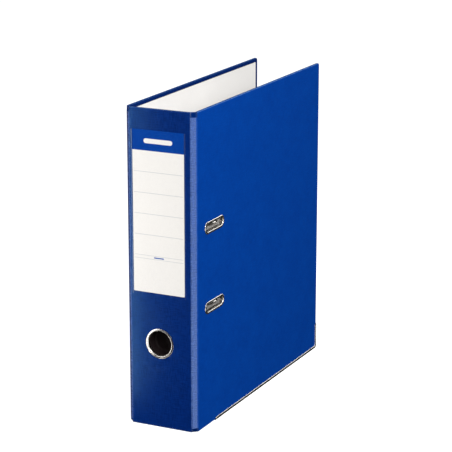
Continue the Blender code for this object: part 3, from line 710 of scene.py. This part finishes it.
# Nickel darkened as painted shade, for the eyelet faces deep inside the cover
SHADE_PAINTED_NICKEL = metal_material("shade_painted_nickel", (0.27, 0.245, 0.225), (0.17, 0.155, 0.145), 0.30)
ZINC = metal_material("zinc_plate", (0.60, 0.60, 0.59), (0.46, 0.46, 0.455), 0.36, spangle=0.12)
SPRING_STEEL = metal_material("spring_steel", (0.33, 0.33, 0.34), (0.22, 0.22, 0.23), 0.32)
BLACK_PLASTIC = plastic_material()
CLEAR_FILM = film_material()


# ---- The case ----

def stand_for(node, piece, body):
    """Puts a piece on its body, in the place of a CAD node."""
    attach(piece, body)
    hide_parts(node)


def dress(node, look):
    """Gives a CAD node that stays in view its material."""
    materials = node_of[node].data.materials
    materials.clear()
    materials.append(look)


def circle(centre, radius, steps):
    return arc(centre, radius, 0, 360, steps)[:-1]


def middle_of(node):
    low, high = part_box(node)
    return (low + high) / 2


SLOTS = ("slot_lower", "slot_upper")
RIVETS = [f"rivet_{side}_{level}" for side in ("spine_side", "open_side") for level in ("lower", "upper")]
EYELET_WALL = 0.0005
EYELET_FLANGE = 0.0022
PAINTED_SHADE_DEPTH = 0.0006  # how deep the eyelets stay bright; faces deeper in the cover get darker nickel as painted shade
HOLE_GAP = 0.0003
RIVET_SHANK = 0.0019
finger_low, finger_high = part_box("finger_ring")
finger_centre = middle_of("finger_ring")
finger_centre.y = SPINE_Y
FINGER_RIM = (finger_high.x - finger_low.x) / 2
FINGER_FLANGE = 0.0026
FINGER_OPENING = FINGER_RIM - FINGER_FLANGE
FINGER_WALL = 0.0005


def slot_size(slot):
    """The eyelet's opening, inside its barrel."""
    low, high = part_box(f"{slot}_outer_ring")
    rim = 2 * (EYELET_WALL + EYELET_FLANGE)
    return high.y - low.y - rim, high.z - low.z - rim


def slot_hole(slot):
    length, height = slot_size(slot)
    middle = middle_of(f"{slot}_outer_ring")
    grow = 2 * (EYELET_WALL + HOLE_GAP)
    return prism(f"{slot}_hole", None, "yz", stadium((middle.y, middle.z), length + grow, height + grow),
                 FRONT_X - 2 * PANEL, FRONT_X + PANEL)


def rivet_hole(rivet):
    middle = middle_of(rivet)
    return prism(f"{rivet}_hole", None, "yz", circle((middle.y, middle.z), RIVET_SHANK + HOLE_GAP, 24),
                 BACK_X - PANEL, BACK_X + 2 * PANEL)


def finger_hole():
    radius = FINGER_OPENING + FINGER_WALL + HOLE_GAP
    return prism("finger_hole", None, "xz", circle((finger_centre.x, finger_centre.z), radius, 48),
                 SPINE_Y - PANEL, SPINE_Y + 2 * PANEL)


holes = {"front_cover": [slot_hole(slot) for slot in SLOTS], "spine": [finger_hole()],
         "back_cover": [rivet_hole(rivet) for rivet in RIVETS]}
for body, panel in panels.items():
    # the spine and hinge strips take the darker foils, painted shade
    foil = COVER_FOIL if panel.is_cover else SPINE_FOIL if body == "spine" else STRIP_FOIL
    shell = (cover_shell if panel.is_cover else strip_shell)(panel, foil, SHADE_PAINTED_FOIL)
    if body in holes:
        cut(shell, holes[body])
    map_sheet(shell, panel)
    stand_for(f"{body}_covering", shade(shell, weighted=True), body)
    dress(f"{body}_board", GREY_BOARD)
    dress(f"{body}_lining", LINING_PAPER)

CORE_LEVELS = (0.00045, 0.00205)  # depths of the faces of a hinge strip's grey board
CORE_SIDE_GAP = 0.0002
CORE_END_GAP = 0.0006  # to the pressed ends
core_foot = FOOT_Z + TAIL_LENGTH + CORE_END_GAP
core_head = HEAD_Z - HEAD_LENGTH - CORE_END_GAP
for body in ("back_hinge", "front_hinge"):
    panel = panels[body]
    near_runs = [panel.near_end(depth) + CORE_SIDE_GAP for depth in CORE_LEVELS]
    core_rings = []
    for runs in (near_runs, [panel.length - run for run in near_runs]):
        corners = zip((0, 0, 1, 1), (core_foot, core_head, core_head, core_foot))
        core_rings.append([panel.place(runs[face], CORE_LEVELS[face], z) for face, z in corners])
    stand_for(f"{body}_board", loft(f"{body}_core", GREY_BOARD, core_rings), body)

order = list(panels.values())
lining_low, lining_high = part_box("spine_lining")
for name, first, second in zip(("back_cover_crease", "back_spine_crease", "front_spine_crease",
                                "front_cover_crease"), order, order[1:]):
    crease = Crease(name, first, second)
    # folds away from the covers take the darker strip foil, painted shade
    foil = COVER_FOIL if crease.beside_cover else STRIP_FOIL
    crease.bend(crease.fold(foil, SHADE_PAINTED_FOIL))
    crease.bend(crease.hinge_paper(LINING_PAPER, lining_low.z, lining_high.z))


# ---- Trim ----

def make_shoe(cover, x_low, x_high):
    """A channel of sheet steel round the cover's foot and the lower end of its fore-edge."""
    low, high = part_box(f"{cover}_edge_shoe")
    proud = FOOT_Z - low.z
    gap = proud - STEEL_SHEET
    leg, outer_round, inner_round = 0.0020, 0.0005, 0.0002
    left, right = x_low - proud, x_high + proud
    top, inner_top = proud - outer_round, gap - inner_round
    inner_left, inner_right = left + STEEL_SHEET + inner_round, right - STEEL_SHEET - inner_round

    def section(reach):
        """The channel's section as (x, outward from the cover's edge), with legs of the given reach."""
        crimp = arc((STEEL_SHEET, -reach), STEEL_SHEET, 180, 270, 6)
        outer = arc((left + outer_round, top), outer_round, 180, 90, 4)
        outer += arc((right - outer_round, top), outer_round, 90, 0, 4)
        outer += [(right - x, outward) for x, outward in crimp]
        inner = arc((inner_right, inner_top), inner_round, 0, 90, 3)
        inner += arc((inner_left, inner_top), inner_round, 90, 180, 3)
        return outer + inner + [(left + x, outward) for x, outward in reversed(crimp)]

    taper = ((0.0, 0.45), (0.0003, 0.75), (0.0007, 0.92), (0.0012, 1.0))  # (from the end, share of the leg)
    stations = [(low.y + step, FOOT_Z, 0, -1, leg * share) for step, share in taper]
    corner_y, corner_z = FORE_EDGE_Y - CORNER_RADIUS, FOOT_Z + CORNER_RADIUS
    for across, up in arc((0, 0), 1, -90, 0, 10):
        stations.append((corner_y + CORNER_RADIUS * across, corner_z + CORNER_RADIUS * up, across, up, leg))
    stations += [(FORE_EDGE_Y, high.z - step, 1, 0, leg * share) for step, share in reversed(taper)]
    rings = [[Vector((x, y + outward * across, z + outward * up)) for x, outward in section(reach)]
             for y, z, across, up, reach in stations]
    return shade(loft(f"{cover}_shoe", NICKEL, rings), angle=40, weighted=True)


def sweep_round_slot(slot, kind, profile):
    """A profile of (outward from the opening, x) points, swept round a slot; faces deep inside the cover get
    darker nickel, painted shade.
    """
    length, height = slot_size(slot)
    middle = middle_of(f"{slot}_outer_ring")
    rings = []
    for offset, x in profile:
        outline = stadium((middle.y, middle.z), length + 2 * offset, height + 2 * offset)
        rings.append([Vector((x, y, z)) for y, z in outline])
    made = loft(f"{slot}_{kind}", NICKEL, rings, is_loop=True)
    # faces deep inside the cover get the darker nickel: painted shade
    return shade(add_look(made, SHADE_PAINTED_NICKEL, lambda place: place.x < FRONT_X - PAINTED_SHADE_DEPTH), angle=50)


def make_eyelet(slot):
    """A pressed eyelet with a domed flange that curls into its barrel, and the washer it is closed over."""
    low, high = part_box(f"{slot}_outer_ring")
    seat = FRONT_X + 0.0002
    barrel_end = seat - 0.0008  # where the barrel starts to curl
    curl = 0.0007
    edge = EYELET_WALL + EYELET_FLANGE
    edge_round, edge_height = 0.0006, 0.0005
    barrel = [(0.0, low.x + 0.0001), (0.0, barrel_end)]
    dome = arc((curl, barrel_end), (curl, high.x - barrel_end), 165, 90, 5)
    slope = arc((edge - edge_round, seat), (edge_round, edge_height), 90, 0, 5)
    under = [(edge - 0.0001, seat - 0.00005), (EYELET_WALL + 0.0002, seat), (EYELET_WALL, seat - 0.0002),
             (EYELET_WALL, low.x)]
    eyelet = sweep_round_slot(slot, "eyelet", barrel + dome + slope + under)
    low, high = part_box(f"{slot}_inner_ring")
    bore = EYELET_WALL + HOLE_GAP
    washer = [(bore, high.x), (bore, low.x + 0.0002), (bore + 0.0003, low.x), (edge - 0.0006, low.x),
              (edge - 0.0001, low.x + 0.0002), (edge, high.x)]
    return eyelet, sweep_round_slot(slot, "washer", washer)


def make_finger_ring():
    """A domed steel ring that curls into its barrel, which lines the hole in the spine."""
    opening, rim, wall = FINGER_OPENING, FINGER_RIM, FINGER_OPENING + FINGER_WALL
    crown, seat, barrel_end = finger_low.y - SPINE_Y, -0.0002, PANEL - 0.0001
    curl_width, curl_start = 0.0011, 0.0006
    edge_round, edge_height = 0.0003, crown * 0.45
    curl = arc((opening + curl_width, curl_start), (curl_width, crown - curl_start), 180, 90, 6)
    slope = arc((rim - edge_round, edge_height - edge_round), edge_round, 72, 0, 4)
    under = [(rim, seat + 0.0002), (rim - 0.0002, seat + 0.0001), (wall, seat + 0.0001), (wall, barrel_end)]
    profile = [(opening, barrel_end)] + curl + slope + under + [(opening, barrel_end)]
    return turned("finger_hole_ring", RING_NICKEL, "y", finger_centre, profile, steps=72)


def make_finger_cup():
    """The black cup behind the finger hole, a dark piece standing in for the shade inside the file, with a
    lip that lies on the spine's inner face.
    """
    sheet, fillet = 0.001, 0.0025
    bore, seat = FINGER_OPENING + FINGER_WALL + HOLE_GAP, PANEL + 0.0002
    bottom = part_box("finger_cup")[1].y - SPINE_Y
    lip = bore + 2.5 * sheet
    inner = arc((bore - fillet, bottom - sheet - fillet), fillet, 90, 0, 5)
    outer = arc((bore + sheet - fillet, bottom - fillet), fillet, 0, 90, 5)
    rim = [(bore, seat + 0.0003), (bore + 0.0003, seat), (lip - 0.0003, seat), (lip, seat + 0.0003),
           (lip, seat + sheet - 0.0002), (lip - 0.0002, seat + sheet), (bore + sheet, seat + sheet)]
    profile = [(0, bottom - sheet)] + inner + rim + outer + [(0, bottom)]
    return turned("finger_hole_cup", BLACK_PLASTIC, "y", finger_centre, profile, steps=56)


def rounded_rectangle(low_a, high_a, low_b, high_b, low_radius, high_radius, steps=5):
    points = []
    for a, b, radius, start in ((low_a, low_b, low_radius, 180), (high_a, low_b, low_radius, 270),
                                (high_a, high_b, high_radius, 0), (low_a, high_b, high_radius, 90)):
        centre = (a + radius * (1 if a == low_a else -1), b + radius * (1 if b == low_b else -1))
        points += arc(centre, radius, start, start + 90, steps)
    return points


def make_label():
    """The printed card, and the clear pocket welded round it, with a thumb notch at its foot."""
    low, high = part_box("label_card")
    card_outline = rounded_rectangle(low.x, high.x, low.z, high.z, 0.0008, 0.0008)
    card = prism("spine_card", LABEL_PRINT, "xz", card_outline, low.y, high.y)
    low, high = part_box("label_pocket")
    sheet, seam, ledge, beyond = 0.0002, 0.0008, 0.0025, 0.001
    outline = rounded_rectangle(low.x, high.x, low.z, high.z, 0.0018, 0.0006)
    pocket = prism("card_pocket", CLEAR_FILM, "xz", outline, low.y, high.y)
    space = rounded_rectangle(low.x + seam, high.x - seam, low.z + ledge, high.z + 2 * beyond, 0.0008, 0.0004)
    notch_radius, notch_rise = 0.0105, 0.0040
    notch = circle(((low.x + high.x) / 2, low.z + notch_rise - notch_radius), notch_radius, 64)
    cut(pocket, [prism("pocket_space", None, "xz", space, low.y + sheet, high.y + beyond),
                 prism("pocket_notch", None, "xz", notch, low.y - beyond, high.y + beyond)])
    bevel(pocket, 0.00006, segments=1)
    return card, pocket


for cover, x_low, x_high in (("back", BACK_X, BACK_X + PANEL), ("front", FRONT_X - PANEL, FRONT_X)):
    stand_for(f"{cover}_edge_shoe", make_shoe(cover, x_low, x_high), f"{cover}_cover")
for slot in SLOTS:
    for piece, ring in zip(make_eyelet(slot), ("outer_ring", "inner_ring")):
        stand_for(f"{slot}_{ring}", piece, "front_cover")
stand_for("finger_ring", make_finger_ring(), "spine")
# the black cup stands in for the shade seen through the finger hole: painted shade
stand_for("finger_cup", make_finger_cup(), "spine")
label_card, label_pocket = make_label()
stand_for("label_card", label_card, "label_card")
stand_for("label_pocket", label_pocket, "spine")


# ---- Mechanism ----

WIRE = 0.002
mechanism_z = middle_of("base_plate").z
bail_axis = joint_place["arch_swing"]
post_tip_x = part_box("post_lower")[1].x


def rounded(corners, steps=10):
    """A run of straight lines in space; each corner (point, radius) between the ends becomes an arc."""
    points = [Vector(corners[0][0])]
    for (before, _), (corner, radius), (after, _) in zip(corners, corners[1:], corners[2:]):
        to_before, to_after = (before - corner).normalized(), (after - corner).normalized()
        half = to_before.angle(to_after) / 2
        centre = corner + (to_before + to_after).normalized() * radius / math.sin(half)
        first = corner + to_before * radius / math.tan(half) - centre
        last = corner + to_after * radius / math.tan(half) - centre
        sweep = first.angle(last)
        for step in range(steps + 1):
            share = step / steps
            point = (centre + first * math.sin((1 - share) * sweep) / math.sin(sweep)
                     + last * math.sin(share * sweep) / math.sin(sweep))
            if (point - points[-1]).length > 1e-5:
                points.append(point)
    points.append(Vector(corners[-1][0]))
    return points


def make_bail():
    """Both arches and the crank between them, bent from one wire."""
    low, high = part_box("arch_bail")
    near, far = low.y + WIRE, high.y - WIRE
    arch_radius = (far - near) / 2 - 0.00001  # leaves a short straight between the two bends
    top, crank_x = high.x - WIRE, low.x + WIRE
    crank_y = bail_axis.y + 0.0125
    low_crank, high_crank = mechanism_z - 0.001, mechanism_z + 0.028
    low_arch, high_arch = low.z + WIRE, high.z - WIRE
    tip_x = post_tip_x + 0.0003
    bend = 0.003
    axis_x, axis_y = bail_axis.x, bail_axis.y
    corners = []
    for arch, crank, is_back in ((high_arch, high_crank, False), (low_arch, low_crank, True)):
        half = [((tip_x, far, arch), 0), ((top, far, arch), arch_radius), ((top, near, arch), arch_radius),
                ((axis_x, near, arch), bend), ((axis_x, axis_y, arch), bend), ((axis_x, axis_y, crank), bend),
                ((crank_x, crank_y, crank), bend)]
        corners += reversed(half) if is_back else half
    route = rounded([(Vector(place), radius) for place, radius in corners])
    return swept("arch_wire", NICKEL, route, WIRE, sides=24)


def make_spring():
    """A torsion spring round the bail, one leg against the base plate and one against the crank."""
    wire, radius, turns, sides = 0.0006, 0.0034, 6, 28
    start, end = mechanism_z - 0.030, mechanism_z - 0.016
    coil = []
    for step in range(turns * sides + 1):
        angle = math.tau * step / sides
        turn = Vector((math.cos(angle), math.sin(angle), 0)) * radius
        coil.append(Vector((bail_axis.x, bail_axis.y, start + (end - start) * step / (turns * sides))) + turn)
    first_leg = coil[0] + Vector((0, -0.0014, 0))
    last_leg = coil[-1] + Vector((-0.0006, 0.0045, 0))
    return swept("bail_coil", SPRING_STEEL, [first_leg] + coil + [last_leg], wire, sides=10, tip_rings=3)


def make_post(level):
    """A post with a narrow foot, a shallow groove round it, a rounded crown and a dimple in its tip."""
    low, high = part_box(f"post_{level}")
    middle = (low + high) / 2
    radius = (high.y - low.y) / 2
    reach = high.x - low.x
    foot_radius, foot_length = 0.0015, reach * 0.03
    groove_radius, groove_start, groove_end = radius - 0.0002, 0.0055, 0.0059
    crown_round = 0.0009
    dimple_radius, dimple_depth = 0.0013, 0.0012
    profile = [(0, 0), (foot_radius, 0), (foot_radius, foot_length), (radius, foot_length),
               (radius, groove_start - 0.0003), (groove_radius, groove_start), (groove_radius, groove_end),
               (radius, groove_end + 0.0003)]
    profile += arc((radius - crown_round, reach - crown_round), crown_round, 0, 90, 5)
    profile += [(dimple_radius, reach), (0.0004, reach - 0.0011), (0, reach - dimple_depth)]
    return turned(f"arch_post_{level}", NICKEL, "x", (low.x, middle.y, middle.z), profile, steps=40)


def make_rivet(rivet):
    """A tubular rivet: a domed head outside, and a rolled edge round its bore inside."""
    low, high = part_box(rivet)
    middle = (low + high) / 2
    head = (high.y - low.y) / 2
    length = high.x - low.x
    dome_rise, head_height = 0.0006, 0.0008
    roll_width, roll_height = 0.0009, 0.0007
    bore, bore_depth = 0.0011, 0.0016
    profile = [(0, 0)] + arc((0, dome_rise), (head, dome_rise), -75, 0, 5)
    profile += [(head, head_height), (RIVET_SHANK, head_height), (RIVET_SHANK, length - 0.0011)]
    profile += arc((RIVET_SHANK + 0.0008, length - roll_height), (roll_width, roll_height), -20, 180, 10)
    profile += [(bore, length - 0.0012), (0, length - bore_depth)]
    name = rivet.replace("rivet", "eyelet_rivet")
    return turned(name, NICKEL, "x", (low.x, middle.y, middle.z), profile, steps=36)


stand_for("arch_bail", make_bail(), "arch_bail")
stand_for("bail_spring", make_spring(), "back_cover")
for level in ("lower", "upper"):
    stand_for(f"post_{level}", make_post(level), "back_cover")
for rivet in RIVETS:
    stand_for(rivet, make_rivet(rivet), "back_cover")

for node, look, width in (("base_plate", ZINC, 0.00022), ("lever", NICKEL, 0.00022),
                          ("compressor_bar", NICKEL, 0.00025), ("roller", ZINC, 0.0),
                          ("roller_pin", NICKEL, 0.0), ("lever_pivot_pin", NICKEL, 0.0)):
    dress(node, look)
    node_of[node].data.shade_smooth()
    node_of[node].data.set_sharp_from_angle(angle=math.radians(32))
    if width:
        bevel(node_of[node], width)


# ---- Studio ----

def stage_material():
    """A plain matt white floor with a soft glow of its own."""
    g = Graph("stage_white")
    cloud = g.noise(g.place(), 1.5, 2.0)
    tone = g.blend(cloud, (0.69, 0.69, 0.69), (0.72, 0.72, 0.72))
    return g.finish(Base_Color=tone, Roughness=0.9, Specular_IOR_Level=0.0, Emission_Color=(1, 1, 1),
                    Emission_Strength=0.72)


def make_floor():
    """A round sheet of floor under the file, wide enough to fill any view."""
    shape = bmesh.new()
    rings = [add_ring(shape, [(x, y, 0) for x, y in circle((0, 0), radius, 64)])
             for radius in (0.4, 1.2, 3.0, 8.0, 16.0)]
    shape.faces.new(rings[0])
    for ring, following in zip(rings, rings[1:]):
        bridge(shape, ring, following)
    floor = to_object("floor", shape, stage_material())
    floor.visible_glossy = False
    floor.visible_diffuse = False
    floor.visible_shadow = False


def softbox(name, place, target, width, height, power):
    light = bpy.data.lights.new(name, "AREA")
    light.shape = "RECTANGLE"
    light.size, light.size_y = width, height
    light.energy = power
    made = link(bpy.data.objects.new(name, light))
    made.location = place
    made.rotation_euler = (Vector(target) - Vector(place)).to_track_quat("-Z", "Y").to_euler()
    made.visible_camera = False


# Bright walls seen in gloss: direction, cosines of the outer and inner edge, strength
GLOSS_WALLS = (((0.87, -0.42, -0.26), 0.86, 0.98, 3.4), ((-0.87, 0.42, -0.26), 0.90, 0.98, 0.15),
               ((0.0, 0.1, 1.0), 0.55, 0.95, 0.8), ((-0.88, -0.42, -0.2), 0.90, 0.98, 2.2),
               ((0.40, 0.87, 0.22), 0.945, 0.985, 3.2))
GLOSS_BETWEEN_WALLS = 0.04
AMBIENT_ABOVE = 0.47
AMBIENT_BELOW = 0.22


def make_world():
    """White to the camera, an even glow for soft shadows, and a dark studio with bright walls in gloss."""
    g = Graph("studio", bpy.data.worlds)
    bpy.context.scene.world = g.owner
    g.owner.cycles.sampling_method = "NONE"
    g.nodes.clear()
    rays = g.node("ShaderNodeLightPath").outputs
    direction = g.node("ShaderNodeTexCoord").outputs["Generated"]

    def lobe(toward, cos_outer, cos_inner, strength):
        dot = g.node("ShaderNodeVectorMath", {"operation": "DOT_PRODUCT"})
        g.join(direction, dot.inputs[0])
        g.join(Vector(toward).normalized(), dot.inputs[1])
        return g.ramp(dot.outputs["Value"], cos_outer, cos_inner, 0.0, strength)

    def background(strength):
        return g.node("ShaderNodeBackground", Color=(1, 1, 1), Strength=strength).outputs[0]

    def choose(flag, otherwise, chosen):
        mix = g.node("ShaderNodeMixShader")
        for socket, value in zip(mix.inputs, (rays[flag], otherwise, chosen)):
            g.join(value, socket)
        return mix.outputs[0]

    gloss = GLOSS_BETWEEN_WALLS
    for wall in GLOSS_WALLS:
        gloss = g.math("ADD", gloss, lobe(*wall))
    glow = g.math("ADD", AMBIENT_BELOW, lobe((0, 0, 1), -0.3, 0.3, AMBIENT_ABOVE - AMBIENT_BELOW))
    lit = choose("Is Glossy Ray", background(glow), background(gloss))
    g.node("ShaderNodeOutputWorld", Surface=choose("Is Camera Ray", lit, background(1.0)))


make_world()
make_floor()
softbox("key", (0.88, -0.84, 0.95), (0, 0, 0.20), 0.7, 0.7, 18.6)
softbox("top", (0.15, 0.2, 1.5), (0, 0, 0.16), 1.2, 1.2, 8)
softbox("spine_sheen", (-0.181, -0.335, 0.165), (-0.03, SPINE_Y, 0.19), 0.06, 0.44, 0.56)

bpy.context.scene.view_settings.view_transform = "Standard"
bpy.context.scene.view_settings.look = "None"

CAMERA_AZIMUTH = math.radians(26.164)
CAMERA_ELEVATION = math.radians(15.205)
CAMERA_DISTANCE = 1.9384
camera_target = Vector((-0.0001, -0.0025, 0.1702))
camera_back = Vector((math.sin(CAMERA_AZIMUTH) * math.cos(CAMERA_ELEVATION),
                      -math.cos(CAMERA_AZIMUTH) * math.cos(CAMERA_ELEVATION), math.sin(CAMERA_ELEVATION)))
camera_data = bpy.data.cameras.new("camera")
camera_data.sensor_width = 36.0
camera_data.lens = 151.09
camera = link(bpy.data.objects.new("camera", camera_data))
camera.location = camera_target + camera_back * CAMERA_DISTANCE
camera.rotation_euler = (-camera_back).to_track_quat("-Z", "Y").to_euler()
camera_data.clip_start, camera_data.clip_end = 0.02, 60.0
bpy.context.scene.camera = camera
